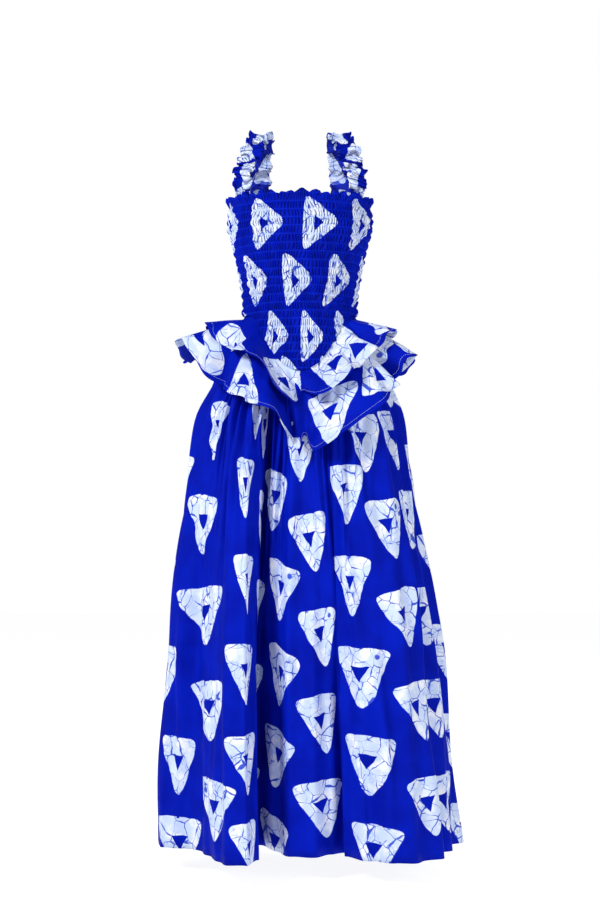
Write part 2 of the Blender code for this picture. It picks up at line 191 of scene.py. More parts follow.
# The upper tier's flutes: how far each stands off the lower tier
UPPER_FLUTES = table("turn lift", [
    (-180, 9), (-170, 24), (-159, 9), (-147, 24), (-133, 9), (-120, 24), (-105, 9), (-90, 14),
    (-76, 8), (-62, 12), (-55, 9), (-44, 20), (-34, 24), (-24, 12), (-14, 26), (-4, 8), (8, 30),
    (18, 18), (26, 22), (35, 8), (43, 18), (52, 8), (62, 22), (75, 9), (90, 22), (104, 9),
    (118, 23), (131, 9), (144, 24), (157, 9), (169, 23), (180, 9),
])

# How far the flutes swing round as they fall, as the pointed seam turns them
SWING = table("turn angle", [
    (-180, 0), (-80, 0), (-60, -2), (-48, 4), (-38, 12), (-27, 20), (-13, 13), (0, 4), (10, 0),
    (22, 8), (34, 18), (46, 22), (60, 15), (76, 5), (90, 0), (180, 0),
])

# The middle of the left strap, and which way its width points, seen from above
STRAP = table("along across back height heading", [
    (0.00, -0.124, -0.057, 1.393, -47.0),
    (0.14, -0.114, -0.078, 1.424, -32.0),
    (0.28, -0.101, -0.071, 1.456, -18.0),
    (0.42, -0.090, -0.042, 1.490, -6.0),
    (0.55, -0.079, 0.000, 1.507, 0.0),
    (0.68, -0.078, 0.040, 1.492, 6.0),
    (0.80, -0.080, 0.068, 1.456, 14.0),
    (0.91, -0.084, 0.080, 1.414, 20.0),
    (1.00, -0.087, 0.076, 1.376, 24.0),
])
STRAP_FRONT_TURN = -57.0
STRAP_BACK_TURN = -144.0

# A strap's ends: the share of its length sewn in at each, the share in which it leaves the bodice, and the
# curve of its end against the bodice's half width. Then how far its waves lean across it
STRAP_END = 0.08
STRAP_LEAVE = 0.10
STRAP_END_CURVE = 0.82
STRAP_WAVE_LEAN = 1.3


def up(height):
    """A height above the floor, in the dress's own frame."""
    return height - SHOULDER_HEIGHT


def ease(share):
    """A soft step from 0 to 1."""
    share = np.clip(share, 0.0, 1.0)
    return share * share * (3.0 - 2.0 * share)


def unit(vectors):
    return vectors / np.linalg.norm(vectors, axis=-1, keepdims=True)


def smooth(columns, key, name, where):
    """A smooth curve through one column of a table."""
    places, values = columns[key], columns[name]
    if places[0] > places[-1]:
        places, values = places[::-1], values[::-1]
    slopes = np.gradient(values, places)
    where = np.clip(where, places[0], places[-1])
    row = np.clip(np.searchsorted(places, where) - 1, 0, len(places) - 2)
    span = places[row + 1] - places[row]
    t = (where - places[row]) / span
    start = (1 + 2 * t) * (1 - t) ** 2 * values[row] + t * (1 - t) ** 2 * span * slopes[row]
    end = t * t * (3 - 2 * t) * values[row + 1] + t * t * (t - 1) * span * slopes[row + 1]
    return start + end


def wrapped(turn, first):
    """A turn brought into the full circle that starts at first."""
    return (turn - first) % 360.0 + first


def between(columns, name, turn):
    """One column of a table of ridges and valleys, eased from each row to the next."""
    places, values = columns["turn"], columns[name]
    turn = wrapped(turn, places[0])
    row = np.clip(np.searchsorted(places, turn, side="right") - 1, 0, len(places) - 2)
    share = ease((turn - places[row]) / (places[row + 1] - places[row]))
    return values[row] * (1 - share) + values[row + 1] * share


def oval(sections, turn, height):
    """A point on the level oval of a table of sections, and the way out from it."""
    angle = np.radians(turn)
    half_width = smooth(sections, "height", "half_width", height)
    side = np.where(np.cos(angle) > 0, smooth(sections, "height", "front", height),
                    smooth(sections, "height", "back", height))
    flat = np.zeros_like(angle)
    point = np.stack([half_width * np.sin(angle), -side * np.cos(angle), up(height) + flat], axis=-1)
    out = unit(np.stack([np.sin(angle) / half_width, -np.cos(angle) / side, flat], axis=-1))
    return point, out


def point_share(turn):
    """How near a turn is to the seam's point, from 0 at the sides to 1."""
    turn = wrapped(turn, -180.0)
    return 0.5 + 0.5 * np.cos(np.pi * np.clip(turn / POINT_HALF_TURN, -1.0, 1.0))


def seam_height(turn):
    return WAIST_SEAM_HEIGHT - POINT_DROP * point_share(turn)


def bodice_top(turn):
    return BODICE_TOP_FRONT - BODICE_TOP_SLOPE * (1.0 - np.cos(np.radians(turn)))


def tucked(turn, height, layer):
    """The inside of a layer's edge where it is tucked up behind the bodice's wall."""
    point, out = oval(BODY, turn, height)
    return point - out * LAYER_STEP * layer


def sway(height):
    """How far the skirt hangs towards the viewer's right."""
    return HEM_SWAY * np.clip((SWAY_FROM - height) / (SWAY_FROM - HEM_HEIGHT), 0.0, 1.0) ** SWAY_BEND


def fold_shift(turn):
    """How far the folds move the hem from its plain oval."""
    angle = np.radians(HEM_FOLDS["turn"])
    depth = np.where(np.cos(angle) > 0, SKIRT["front"][-1], SKIRT["back"][-1])
    plain = {
        "turn": HEM_FOLDS["turn"],
        "across": HEM_FOLDS["across"] - HEM_SWAY - SKIRT["half_width"][-1] * np.sin(angle),
        "forward": HEM_FOLDS["forward"] - depth * np.cos(angle),
    }
    across = between(plain, "across", turn)
    return np.stack([across, -between(plain, "forward", turn), np.zeros_like(across)], axis=-1)


def hem_measure():
    """Turns round the hem, the cloth's length up to each from the left seam, and an even spread of both."""
    turns = np.linspace(SKIRT_SEAMS[0], SKIRT_SEAMS[2], 3601)
    ring = oval(SKIRT, turns, HEM_HEIGHT)[0] + fold_shift(turns)
    steps = np.linalg.norm(np.diff(ring, axis=0), axis=1)
    lengths = np.concatenate([[0.0], np.cumsum(steps)])
    return turns, lengths, lengths / lengths[-1] + (turns - turns[0]) / 360.0


HEM_TURNS, HEM_LENGTHS, HEM_SPREAD = hem_measure()


def gather_wave(turn):
    """The gathers' wave, so many in each panel."""
    spread = np.interp(wrapped(turn, SKIRT_SEAMS[0]), HEM_TURNS, HEM_SPREAD)
    seam = np.interp(SKIRT_SEAMS[1], HEM_TURNS, HEM_SPREAD)
    share = np.where(spread < seam, spread / seam, 1.0 + (spread - seam) / (HEM_SPREAD[-1] - seam))
    return np.cos(2 * np.pi * GATHERS_A_PANEL * share)


def skirt(turn, height):
    """The inside of the skirt."""
    seam = seam_height(turn)
    fallen = np.maximum(seam - height, 0.0)
    plain, out = oval(SKIRT, turn, np.minimum(height, seam))
    top = tucked(turn, np.maximum(height, BODY["height"][-1]), SKIRT_LAYER)
    share = ease((fallen - SKIRT_DROP) / SKIRT_EASE_IN)[..., None]
    point = top * (1 - share) + plain * share
    point[..., 2] = up(height)
    folds = fallen / (seam - HEM_HEIGHT) * ease(fallen / SKIRT_EASE_IN)
    reach = fallen / GATHER_REACH
    gathers = GATHER_DEPTH * reach * np.exp(1.0 - reach) * gather_wave(turn)
    point = point + folds[..., None] * fold_shift(turn) + out * gathers[..., None]
    point[..., 0] += sway(height)
    return point


def skirt_slope(turn):
    """How steeply the plain skirt leaves the seam, as an angle from the vertical."""
    seam = seam_height(turn)
    start, out = oval(BODY, turn, seam)
    below = oval(SKIRT, turn, seam - SLOPE_DEPTH)[0]
    return np.arctan2(np.sum((below - start) * out, axis=-1), SLOPE_DEPTH)


def tier_length(turn, layer):
    """A tier's length from the seam to its hem, longer over the front."""
    front = ease(2.0 * (1.0 - np.abs(wrapped(turn, -180.0)) / TIER_FRONT_HALF_TURN))
    if layer == 1:
        return UPPER_TIER_LENGTH + UPPER_TIER_FRONT_EXTRA * front
    return LOWER_TIER_LENGTH + LOWER_TIER_FRONT_EXTRA * front


def tier(turn, fallen, layer):
    """The inside of a peplum tier at a length below the seam. Layer 2 is the lower tier, 1 the upper."""
    seam = seam_height(turn)
    drop = SEAM_DROP * layer
    point = tucked(turn, seam - np.minimum(fallen, drop), layer)
    out = oval(BODY, turn, seam)[1]
    round_way = np.stack([-out[..., 1], out[..., 0], np.zeros_like(turn)], axis=-1)
    down = np.array([0.0, 0.0, -1.0])
    lift = between(LOWER_FLUTES, "lift", turn)
    if layer == 1:
        lift = lift + between(UPPER_FLUTES, "lift", turn)
    slope = skirt_slope(turn)
    turned = np.radians(between(SWING, "angle", turn))
    below = np.maximum(fallen - drop, 0.0)
    for step in range(FALL_STEPS):
        at = below * (step + 0.5) / FALL_STEPS
        fluted = slope + np.radians(lift) * ease(at / SEAM_BEND)
        angle = fluted * (TIER_SLOPE_FACTOR - TIER_SLOPE_LOSS * at)
        swing = turned * ease(at / SWING_REACH)
        outward = (np.cos(swing) * np.sin(angle))[..., None] * out
        downward = (np.cos(swing) * np.cos(angle))[..., None] * down
        sideways = np.sin(swing)[..., None] * round_way
        point = point + (outward + downward + sideways) * (below / FALL_STEPS)[..., None]
    return point


def strap(along, across, side):
    """The underside of a strap. Along runs from its front end to its back end, across from -1 to 1."""
    share = np.clip((along - STRAP_END) / (1.0 - 2 * STRAP_END), 0.0, 1.0)
    middle = np.stack([smooth(STRAP, "along", "across", share), smooth(STRAP, "along", "back", share),
                       up(smooth(STRAP, "along", "height", share))], axis=-1)
    heading = np.radians(smooth(STRAP, "along", "heading", share))
    width_way = np.stack([np.cos(heading), np.sin(heading), np.zeros_like(heading)], axis=-1)
    step = 0.01
    ahead = np.clip(share + step, 0.0, 1.0)
    behind = np.clip(share - step, 0.0, 1.0)
    run = np.stack([smooth(STRAP, "along", name, ahead) - smooth(STRAP, "along", name, behind)
                    for name in ("across", "back", "height")], axis=-1)
    out = unit(np.cross(unit(run), width_way))
    edge = np.abs(across)
    depth = STRAP_MIDDLE_WAVE + (STRAP_EDGE_WAVE - STRAP_MIDDLE_WAVE) * edge
    settle = ease(share / STRAP_END) * ease((1.0 - share) / STRAP_END)
    wave = np.cos(2 * np.pi * STRAP_WAVES * share + STRAP_WAVE_LEAN * across)
    free = middle + width_way * (across * STRAP_WIDTH / 2)[..., None]
    free = free + out * (settle * (0.5 + depth / STRAP_EDGE_WAVE) * depth * wave)[..., None]

    at_front = share < 0.5
    end_turn = np.where(at_front, STRAP_FRONT_TURN, STRAP_BACK_TURN)
    into = np.where(at_front, STRAP_END - along, along - (1.0 - STRAP_END)) / STRAP_END
    radius = smooth(BODY, "height", "half_width", BODICE_TOP_FRONT) * STRAP_END_CURVE
    turn = end_turn + np.where(at_front, 1, -1) * np.degrees(across * STRAP_WIDTH / 2 / radius)
    height = bodice_top(turn) + FRILL_HEIGHT + STRAP_CLEARANCE - STRAP_TUCK * np.clip(into, 0.0, 1.0)
    behind_wall, wall_out = oval(BODY, turn, height)
    behind_wall = behind_wall - wall_out * (STRAP_WALL + SEAM_GAP)
    hold = ease(1.0 - np.minimum(share, 1.0 - share) / STRAP_LEAVE)[..., None]
    point = free * (1 - hold) + behind_wall * hold
    return point * np.array([side, 1.0, 1.0])


def facing(surface, first, second, step=1e-4):
    """The way out of a surface, square to it at every point."""
    one = surface(first + step, second) - surface(first - step, second)
    two = surface(first, second + step) - surface(first, second - step)
    return unit(np.cross(two, one))


# How finely each shell is divided, and how thick the cloth is
BODICE_FINE = (500, 92)
SKIRT_FINE = (600, 66)
TIER_FINE = (350, 30)
STRAP_FINE = (360, 22)
SHELL = 0.0005

# The shirring: elastic rows, the puckers between them, and the scalloped header above
FIRST_ROW_DROP = 0.009
ROW_STEP = 0.0168
PUCKER_TURN = 2.5
PUCKER_DEPTH = 0.0043
PUFF = 0.0008
BODICE_LIFT = 0.0008
HEADER_LIFT = 0.0022
SCALLOP_TURN = 10.5
BUST_METRES_A_DEGREE = 0.0023

# A bodice panel's flat width, and the more cloth gathered into the front of its waist: how much, below
# what height, over what drop and to what turn
BODICE_FLAT_WIDTH = 0.757
WAIST_GATHER = 0.38
WAIST_GATHER_TOP = 1.21
WAIST_GATHER_DROP = 0.10
WAIST_GATHER_TURN = 70.0

# Each strap's length as worn, its puckers, its relief and its flat length and width
STRAP_LENGTH = 0.46
STRAP_PUCKER = 0.0100
STRAP_LIFT = 0.001
STRAP_SETTLE = 0.09
STRAP_EDGE_UNEVEN = 0.09
STRAP_FLAT = (0.68, 0.055)

# The circular cut of the tiers
TIER_SEAM_RADIUS = 0.085
TIER_SWEEP = 1.5

# The skirt's small and broad gathers, so many in each half of its round, its soft creases, and its deepest
# fold, at the front left
SMALL_GATHERS = 33
SMALL_GATHER_DEPTH = 0.0046
BROAD_GATHERS = 17
BROAD_GATHER_DEPTH = 0.0052
CREASE_DEPTH = 0.0050
DEEP_FOLD_TURN = -17.0
DEEP_FOLD_SPREAD = 4.5
DEEP_FOLD = 0.030

# The tiers' smaller flutes and ripples, and the fold over the point of the waist
FLUTE_TURN = 21.0
FLUTE_DEPTH = 0.006
RIPPLE_TURN = 9.0
RIPPLE_DEPTH = 0.0028
CENTRE_FOLD_TURN = 0.0
CENTRE_FOLD_SPREAD = 6.0
CENTRE_FOLD_DEPTH = 0.050
CENTRE_FOLD_LIFT = 0.032
TIER_LIFT = 0.0006

# Hems: how high each is turned up, how far that stands out and over what length, and the stitching
HEM_TURN = 0.009
HEM_RAISE = 0.0004
HEM_EDGE = 0.001
SKIRT_HEM_TURN = 0.018
SKIRT_HEM_RAISE = 0.0005
SKIRT_HEM_EDGE = 0.0015
STITCH_LENGTH = 0.0026
STITCH_STEP = 0.0038
STITCH_RADIUS = 0.00032
STITCH_LIFT = 0.0013
SKIRT_STITCH_LIFT = 0.0010

# The print's repeat, and how much wider than its drawing a motif is on the skirt and the tiers
PRINT_REPEAT = 0.185
PRINT_STRETCH = 1.14

# One motif: a triangle that points down, rounded and grown a little, with a small solid triangle in it.
# Each has its flat top, its tip below and the slant of its sides
MOTIF_TOP = 0.0485
MOTIF_TIP = 0.0865
MOTIF_SLANT = (0.915, 0.403)
MOTIF_ROUNDING = 0.040
MOTIF_GROWTH = 0.0018
TRIANGLE_TOP = 0.0130
TRIANGLE_TIP = 0.0175
TRIANGLE_SLANT = (0.876, 0.482)

# The print's colours, the reverse's, the elastic's, and the painted shade in the puckers' valleys
PALE = (0.79, 0.82, 0.90, 1.0)
PALE_WASHED = (0.54, 0.64, 0.87, 1.0)
HAIR_BLUE = (0.12, 0.24, 0.78, 1.0)
INK_BLUE = (0.006, 0.045, 0.52, 1.0)
BLUE = (0.0, 0.0060, 0.315, 1.0)
BLUE_WASHED = (0.0, 0.0095, 0.415, 1.0)
REVERSE_BLUE = (0.12, 0.18, 0.50, 1.0)
# Painted shade: the blue that the puckers' valleys are darkened towards
VALLEY_SHADE_BLUE = (0.0, 0.002, 0.085, 1.0)
ELASTIC_BLUE = (0.004, 0.045, 0.70, 1.0)

# Motifs on the skirt's front and right seam, in the flat cloth: how far round the hem, how far above it,
# the tilt, and how wide each is drawn
SKIRT_PRINT = table("across above tilt wide", [
    (0.020, 0.030, 0, 1.00), (0.005, 0.190, 0, 1.00), (-0.035, 0.390, 0, 1.00), (-0.050, 0.570, 0, 1.00),
    (-0.050, 0.750, 0, 1.00), (0.115, 0.110, 0, 1.00), (0.075, 0.275, 0, 1.00), (0.040, 0.460, 0, 1.00),
    (0.030, 0.655, 0, 1.00), (0.040, 0.840, 0, 1.00), (0.241, 0.014, 0, 1.00), (0.233, 0.177, 0, 0.76),
    (0.170, 0.362, 0, 1.00), (0.130, 0.545, 0, 1.00), (0.115, 0.750, 0, 1.00), (0.402, 0.106, 0, 1.40),
    (0.366, 0.300, 6, 1.60), (0.322, 0.486, 6, 1.80), (0.276, 0.668, 0, 1.32), (0.283, 0.858, 0, 1.00),
    (0.524, 0.032, 8, 0.82), (0.520, 0.202, 6, 0.86), (0.513, 0.378, 0, 0.80), (0.520, 0.554, 0, 0.74),
    (0.503, 0.743, 0, 0.68), (0.545, 0.900, 0, 1.00), (0.655, 0.120, 0, 1.00), (0.665, 0.330, 0, 1.00),
    (0.665, 0.500, 0, 1.00), (0.640, 0.680, 0, 1.00), (0.640, 0.860, 0, 1.00), (0.767, 0.020, -12, 1.00),
    (0.783, 0.196, -16, 1.00), (0.798, 0.363, -14, 1.00), (0.797, 0.535, -10, 1.05),
    (0.758, 0.716, -8, 1.05), (0.910, 0.102, 9, 1.00), (0.913, 0.273, 11, 0.88), (0.919, 0.445, 10, 0.86),
    (0.896, 0.635, 12, 0.95), (0.866, 0.816, 0, 1.00), (1.091, 0.022, -2, 1.05), (1.088, 0.196, 0, 1.15),
    (1.080, 0.370, 0, 1.36), (1.066, 0.550, 0, 1.10), (1.066, 0.731, 4, 1.26), (1.150, 0.834, 0, 0.95),
    (1.223, 0.113, 10, 0.80), (1.217, 0.300, 14, 0.78), (1.201, 0.484, 14, 0.88), (1.189, 0.662, 8, 0.95),
    (1.280, 0.838, 0, 1.00), (1.345, 0.104, 10, 1.05), (1.348, 0.295, 8, 1.05), (1.342, 0.481, 6, 1.05),
    (1.345, 0.678, 0, 1.30), (1.375, 0.965, 0, 1.00),
])
# The back repeats evenly from here round to the left seam, with every other column set higher
BACK_PRINT_START = 1.475
BACK_PRINT_STEP = 0.130
BACK_PRINT_HEIGHT = 0.03
BACK_PRINT_RISE = 0.093

# Rows of motifs round the bodice: the height of each, and where one of its motifs lies along the cloth
BODICE_PRINT_ROWS = table("height phase", [
    (1.320, 0.061),
    (1.206, -0.020),
    (1.092, 0.055),
    (1.000, 0.140),
])

# Motifs on the tiers: the turn, how far each lies below the seam and how it is turned from pointing down
LOWER_PRINT = table("turn fallen angle", [
    (-168, 0.11, 60), (-142, 0.05, 200), (-122, 0.12, -40), (-98, 0.05, 120), (-74, 0.122, -42),
    (-42, 0.142, -167), (-14, 0.215, 10), (17, 0.128, -14), (42, 0.142, 30), (66, 0.06, 200),
    (84, 0.13, 30), (104, 0.06, 150), (126, 0.12, -60), (148, 0.05, 80), (170, 0.12, 190),
])
UPPER_PRINT = table("turn fallen angle", [
    (-170, 0.04, 30), (-146, 0.06, 150), (-124, 0.04, -80), (-100, 0.06, 60), (-57, 0.084, -138),
    (-11, 0.052, 44), (25, 0.050, -29), (39, 0.072, -60), (79, 0.082, 20),
    (101, 0.06, -60), (118, 0.04, 45), (134, 0.06, 190), (158, 0.045, -30),
])
# How many degrees past a tier's side seams a motif's middle may lie and still be drawn on it
MOTIF_REACH = 12

# Motifs on the straps: the share of the length, how far off the middle, and the angle
STRAP_PRINT = table("along across angle", [
    (0.06, -0.040, 10), (0.19, 0.046, 170), (0.33, -0.046, -15), (0.47, 0.044, 190), (0.62, -0.048, 20),
    (0.78, 0.044, 160), (0.93, -0.042, 0),
])

# The camera: how far back and how high it stands, the photo's scale at the body and its height in pixels
CAMERA_BACK = 4.5
CAMERA_HEIGHT = 0.86
METRES_A_PIXEL = 0.00206
PHOTO_HEIGHT = 901
SENSOR = 36.0

# The studio's light, and where the lamps point
FLOOR_GLOW = 0.905
SKY_LIGHT = 0.19
LAMP_AIM = (0.0, 0.0, -0.6)


def wander(along, across, scale, seed, terms=7):
    """Smooth unevenness, mostly between -1 and 1, over lengths of about the scale."""
    random = np.random.default_rng(seed)
    total = 0.0
    for _ in range(terms):
        angle, phase = random.uniform(0.0, 2 * np.pi, 2)
        length = scale * random.uniform(0.7, 1.9)
        way = along * np.cos(angle) + across * np.sin(angle)
        total = total + np.cos(2 * np.pi * way / length + phase)
    return total / (0.8 * terms ** 0.5)


def grid(columns, rows):
    return np.meshgrid(np.linspace(0.0, 1.0, columns + 1), np.linspace(0.0, 1.0, rows + 1), indexing="ij")


def grid_facing(points, sign):
    """The way out of a grid of points."""
    return sign * unit(np.cross(np.gradient(points, axis=1), np.gradient(points, axis=0)))


def turned_to(offset, degrees):
    """Offsets in the cloth as seen in a motif's own frame."""
    angle = np.radians(degrees)
    return np.stack([offset[..., 0] * np.cos(angle) + offset[..., 1] * np.sin(angle),
                     offset[..., 1] * np.cos(angle) - offset[..., 0] * np.sin(angle)], axis=-1)


def motif_of_each_face(flat, centres):
    """For each face the number of the motif whose outline it lies deepest in, or nearest to."""
    middle = (flat[:-1, :-1] + flat[1:, 1:]) / 2
    place = turned_to(middle[:, :, None, :] - centres[None, None, :, :2], centres[None, None, :, 2])
    across, down = MOTIF_SLANT
    slant = across * np.abs(place[..., 0] / centres[:, 3]) - down * (place[..., 1] + MOTIF_TIP)
    return np.argmin(np.maximum(slant, place[..., 1] - MOTIF_TOP), axis=-1)


def shell(name, points, flat, centres, materials, values=None):
    """A sheet of cloth from a grid of points. Centres holds each motif's place in the flat cloth, its angle
    and how wide it is drawn."""
    columns, height = points.shape[:2]
    index = np.arange(columns * height).reshape(columns, height)
    corners = np.stack([index[:-1, :-1], index[:-1, 1:], index[1:, 1:], index[1:, :-1]], axis=-1)
    mesh = bpy.data.meshes.new(name)
    mesh.from_pydata(points.reshape(-1, 3).tolist(), [], corners.reshape(-1, 4).tolist())
    motif = motif_of_each_face(flat, centres)
    corner_flat = flat.reshape(-1, 2)[corners]
    place = centres[motif][:, :, None, :]
    turned = turned_to(corner_flat - place[..., :2], place[..., 2])
    turned[..., 0] = turned[..., 0] / place[..., 3]
    cloth = mesh.uv_layers.new(name="cloth")
    cloth.data.foreach_set("uv", corner_flat.reshape(-1).astype(np.float32))
    drawing = mesh.uv_layers.new(name="print")
    drawing.data.foreach_set("uv", turned.reshape(-1).astype(np.float32))
    tone = mesh.attributes.new("tone", "FLOAT", "FACE")
    tones = np.random.default_rng(len(name)).uniform(0.0, 1.0, len(centres))
    tone.data.foreach_set("value", tones[motif].reshape(-1).astype(np.float32))
    for kind, value in (values or {}).items():
        kept = mesh.attributes.new(kind, "FLOAT", "POINT")
        kept.data.foreach_set("value", value.reshape(-1).astype(np.float32))
    mesh.shade_smooth()
    piece = bpy.data.objects.new(name, mesh)
    bpy.context.scene.collection.objects.link(piece)
    for material in materials:
        mesh.materials.append(material)
    solid = piece.modifiers.new("thickness", "SOLIDIFY")
    solid.thickness = SHELL
    solid.offset = 0.0
    solid.material_offset = 1
    solid.material_offset_rim = 0
    return piece


def show(piece, node, with_pieces=()):
    """Let a sheet and any extra pieces ride on the dress, with its solid hidden in its place."""
    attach(piece, "root")
    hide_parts(node)
    for extra in with_pieces:
        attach(extra, "root")


# Shirred bodice

def frill_phase(turn):
    return turn / SCALLOP_TURN + 0.42 * wander(turn, 0.0, 34.0, 3)


def frill_edge(turn):
    """The height of the header's uneven scalloped edge above the bodice's top."""
    lobe = np.abs(np.cos(np.pi * frill_phase(turn)))
    return FRILL_HEIGHT * (0.52 + 0.40 * lobe ** 0.7 + 0.16 * wander(turn, 0.0, 9.0, 5))


def bodice_flat(turn, height):
    """Where a point of the bodice lies in its flat cloth."""
    low = ease((WAIST_GATHER_TOP - height) / WAIST_GATHER_DROP)
    near = np.exp(-(wrapped(turn, -180.0) / WAIST_GATHER_TURN) ** 2)
    across = wrapped(turn, -90.0) * BODICE_FLAT_WIDTH / 180.0
    return np.stack([across * (1.0 + WAIST_GATHER * low * near), height], axis=-1)


def make_bodice(name, first_turn, last_turn):
    across, share = grid(*BODICE_FINE)
    turn = first_turn + (last_turn - first_turn) * across
    edge = bodice_top(turn) + frill_edge(turn)
    height = edge + (seam_height(turn) - edge) * share
    point, out = oval(BODY, turn, height)
    below = bodice_top(turn) - FIRST_ROW_DROP - height
    row = below / ROW_STEP
    in_row = row - np.floor(row)
    puff = np.where(row > 0, np.sin(np.pi * in_row) ** 0.7, ease(-row))
    side = turn * BUST_METRES_A_DEGREE
    phase = turn / PUCKER_TURN + 0.60 * wander(side, height * 0.7, 0.034, 11)
    phase = phase + 0.22 * wander(side, np.floor(row) * 0.02, 0.014, 12)
    ridge = 1.0 - (0.5 - 0.5 * np.cos(2 * np.pi * phase)) ** 1.6
    uneven = 0.75 + 0.30 * wander(side, height, 0.018, 13)
    above = np.clip(-row, 0.0, 1.6)
    lobe = np.cos(2 * np.pi * frill_phase(turn))
    puckered = puff * (PUFF + PUCKER_DEPTH * ridge * uneven)
    raised = BODICE_LIFT + puckered + above * HEADER_LIFT * (1.0 + lobe)
    points = point + out * raised[..., None]
    centres = []
    for low, start in zip(BODICE_PRINT_ROWS["height"], BODICE_PRINT_ROWS["phase"]):
        for step in range(-4, 7):
            centres.append((start + step * PRINT_REPEAT, low, 90.0, 1.0))
    # The shirring and pucker values place the elastic rows' thread colour and the painted shade in the
    # puckers' valleys
    return shell(name, points, bodice_flat(turn, height), np.array(centres), [SHIRRED, REVERSE],
                 {"shirring": row, "pucker": phase})


# Skirt

def skirt_cloth(turn, fallen):
    """The skirt's surface with its small gathers and soft creases, at a length below the waist seam."""
    height = seam_height(turn) - fallen
    point = skirt(turn, height)
    spread = np.interp(wrapped(turn, SKIRT_SEAMS[0]), HEM_TURNS, HEM_SPREAD)
    length = np.interp(wrapped(turn, SKIRT_SEAMS[0]), HEM_TURNS, HEM_LENGTHS)
    gathered = np.exp(-((fallen - 0.10) / 0.22) ** 2) * ease(fallen / 0.03)
    small = np.cos(2 * np.pi * (spread * SMALL_GATHERS + 0.8 * wander(length, fallen * 0.3, 0.16, 21)))
    broad = np.cos(2 * np.pi * (spread * BROAD_GATHERS + 0.6 * wander(length, fallen * 0.2, 0.30, 23)))
    lasting = ease(fallen / 0.08) * ease((0.75 - fallen) / 0.55)
    deep = np.exp(-((turn - DEEP_FOLD_TURN) / DEEP_FOLD_SPREAD) ** 2) * ease((fallen - 0.03) / 0.20)
    crease = wander(length * 1.5, fallen * 0.22, 0.11, 22) * ease(fallen / 0.10)
    out = oval(SKIRT, turn, height)[1]
    move = SMALL_GATHER_DEPTH * gathered * small + BROAD_GATHER_DEPTH * lasting * broad
    move = move + CREASE_DEPTH * crease - DEEP_FOLD * deep
    return point + out * move[..., None]


def skirt_flat(turn, height):
    length = np.interp(wrapped(turn, SKIRT_SEAMS[0]), HEM_TURNS, HEM_LENGTHS)
    return np.stack([length, height - HEM_HEIGHT], axis=-1)


def make_skirt(name, first_turn, last_turn):
    across, share = grid(*SKIRT_FINE)
    first, last = np.interp([first_turn, last_turn], HEM_TURNS, HEM_SPREAD)
    turn = np.interp(first + (last - first) * across, HEM_SPREAD, HEM_TURNS)
    share = 0.35 * share + 0.65 * share ** 1.4
    fallen = -TUCK + (seam_height(turn) - HEM_HEIGHT + TUCK) * share
    height = seam_height(turn) - fallen
    points = np.where((fallen < SKIRT_DROP)[..., None], skirt(turn, height), skirt_cloth(turn, fallen))
    out = grid_facing(points, -1.0)
    hem = ease((SKIRT_HEM_TURN - (height - HEM_HEIGHT)) / SKIRT_HEM_EDGE)
    points = points + out * (SKIRT_HEM_RAISE * hem)[..., None]
    centres = list(zip(SKIRT_PRINT["across"], SKIRT_PRINT["above"], SKIRT_PRINT["tilt"],
                       SKIRT_PRINT["wide"] * PRINT_STRETCH))
    for column, place in enumerate(np.arange(BACK_PRINT_START, HEM_LENGTHS[-1], BACK_PRINT_STEP)):
        for step in range(-1, 6):
            above = BACK_PRINT_HEIGHT + BACK_PRINT_RISE * (column % 2) + step * PRINT_REPEAT
            centres.append((place, above, 0.0, PRINT_STRETCH))
    return shell(name, points, skirt_flat(turn, height), np.array(centres), [PRINTED, REVERSE])


# Peplum

def tier_cloth(turn, fallen, layer):
    """A tier's surface with its smaller flutes, and the deep fold over the point of the waist."""
    point = tier(turn, fallen, layer)
    way = np.radians(turn)
    out = np.stack([np.sin(way), -np.cos(way), np.zeros_like(way)], axis=-1)
    share = np.clip(fallen / tier_length(turn, layer), 0.0, 1.0)
    flute = np.cos(2 * np.pi * (turn / FLUTE_TURN + 0.35 * wander(turn, 20.0 * share, 70.0, 41 + layer)))
    centre = np.exp(-((turn - CENTRE_FOLD_TURN) / CENTRE_FOLD_SPREAD) ** 2)
    ripple = np.cos(2 * np.pi * (turn / RIPPLE_TURN + 0.5 * wander(turn, 25.0 * share, 40.0, 43 + layer)))
    fine = RIPPLE_DEPTH * ripple * ease(share / 0.25)
    move = share ** 1.5 * (FLUTE_DEPTH * flute - CENTRE_FOLD_DEPTH * centre) + fine
    lift = share ** 1.5 * CENTRE_FOLD_LIFT * centre
    return point + out * move[..., None] + np.array([0.0, 0.0, 1.0]) * lift[..., None]


def tier_flat(turn, fallen):
    """Where a point of a tier lies in its circular cut."""
    around = np.radians(turn * TIER_SWEEP)
    radius = TIER_SEAM_RADIUS + fallen
    return np.stack([radius * np.sin(around), -radius * np.cos(around)], axis=-1)


def make_tier(name, first_turn, last_turn, layer):
    across, share = grid(*TIER_FINE)
    turn = first_turn + (last_turn - first_turn) * across
    share = 0.3 * share + 0.7 * share ** 1.5
    fallen = -TUCK + (tier_length(turn, layer) + TUCK) * share
    points = tier_cloth(turn, fallen, layer)
    out = grid_facing(points, 1.0)
    hem = ease((HEM_TURN - (tier_length(turn, layer) - fallen)) / HEM_EDGE)
    points = points + out * (TIER_LIFT + HEM_RAISE * hem)[..., None]
    motifs = UPPER_PRINT if layer == 1 else LOWER_PRINT
    centres = []
    for full_turn in (0.0, 360.0):
        at = motifs["turn"] + full_turn
        near = (at > first_turn - MOTIF_REACH) & (at < last_turn + MOTIF_REACH)
        place = tier_flat(at[near], motifs["fallen"][near])
        angle = at[near] * TIER_SWEEP + motifs["angle"][near]
        centres.append(np.column_stack([place, angle, np.full(len(angle), PRINT_STRETCH)]))
    return shell(name, points, tier_flat(turn, fallen), np.concatenate(centres), [PRINTED, REVERSE])


# Straps

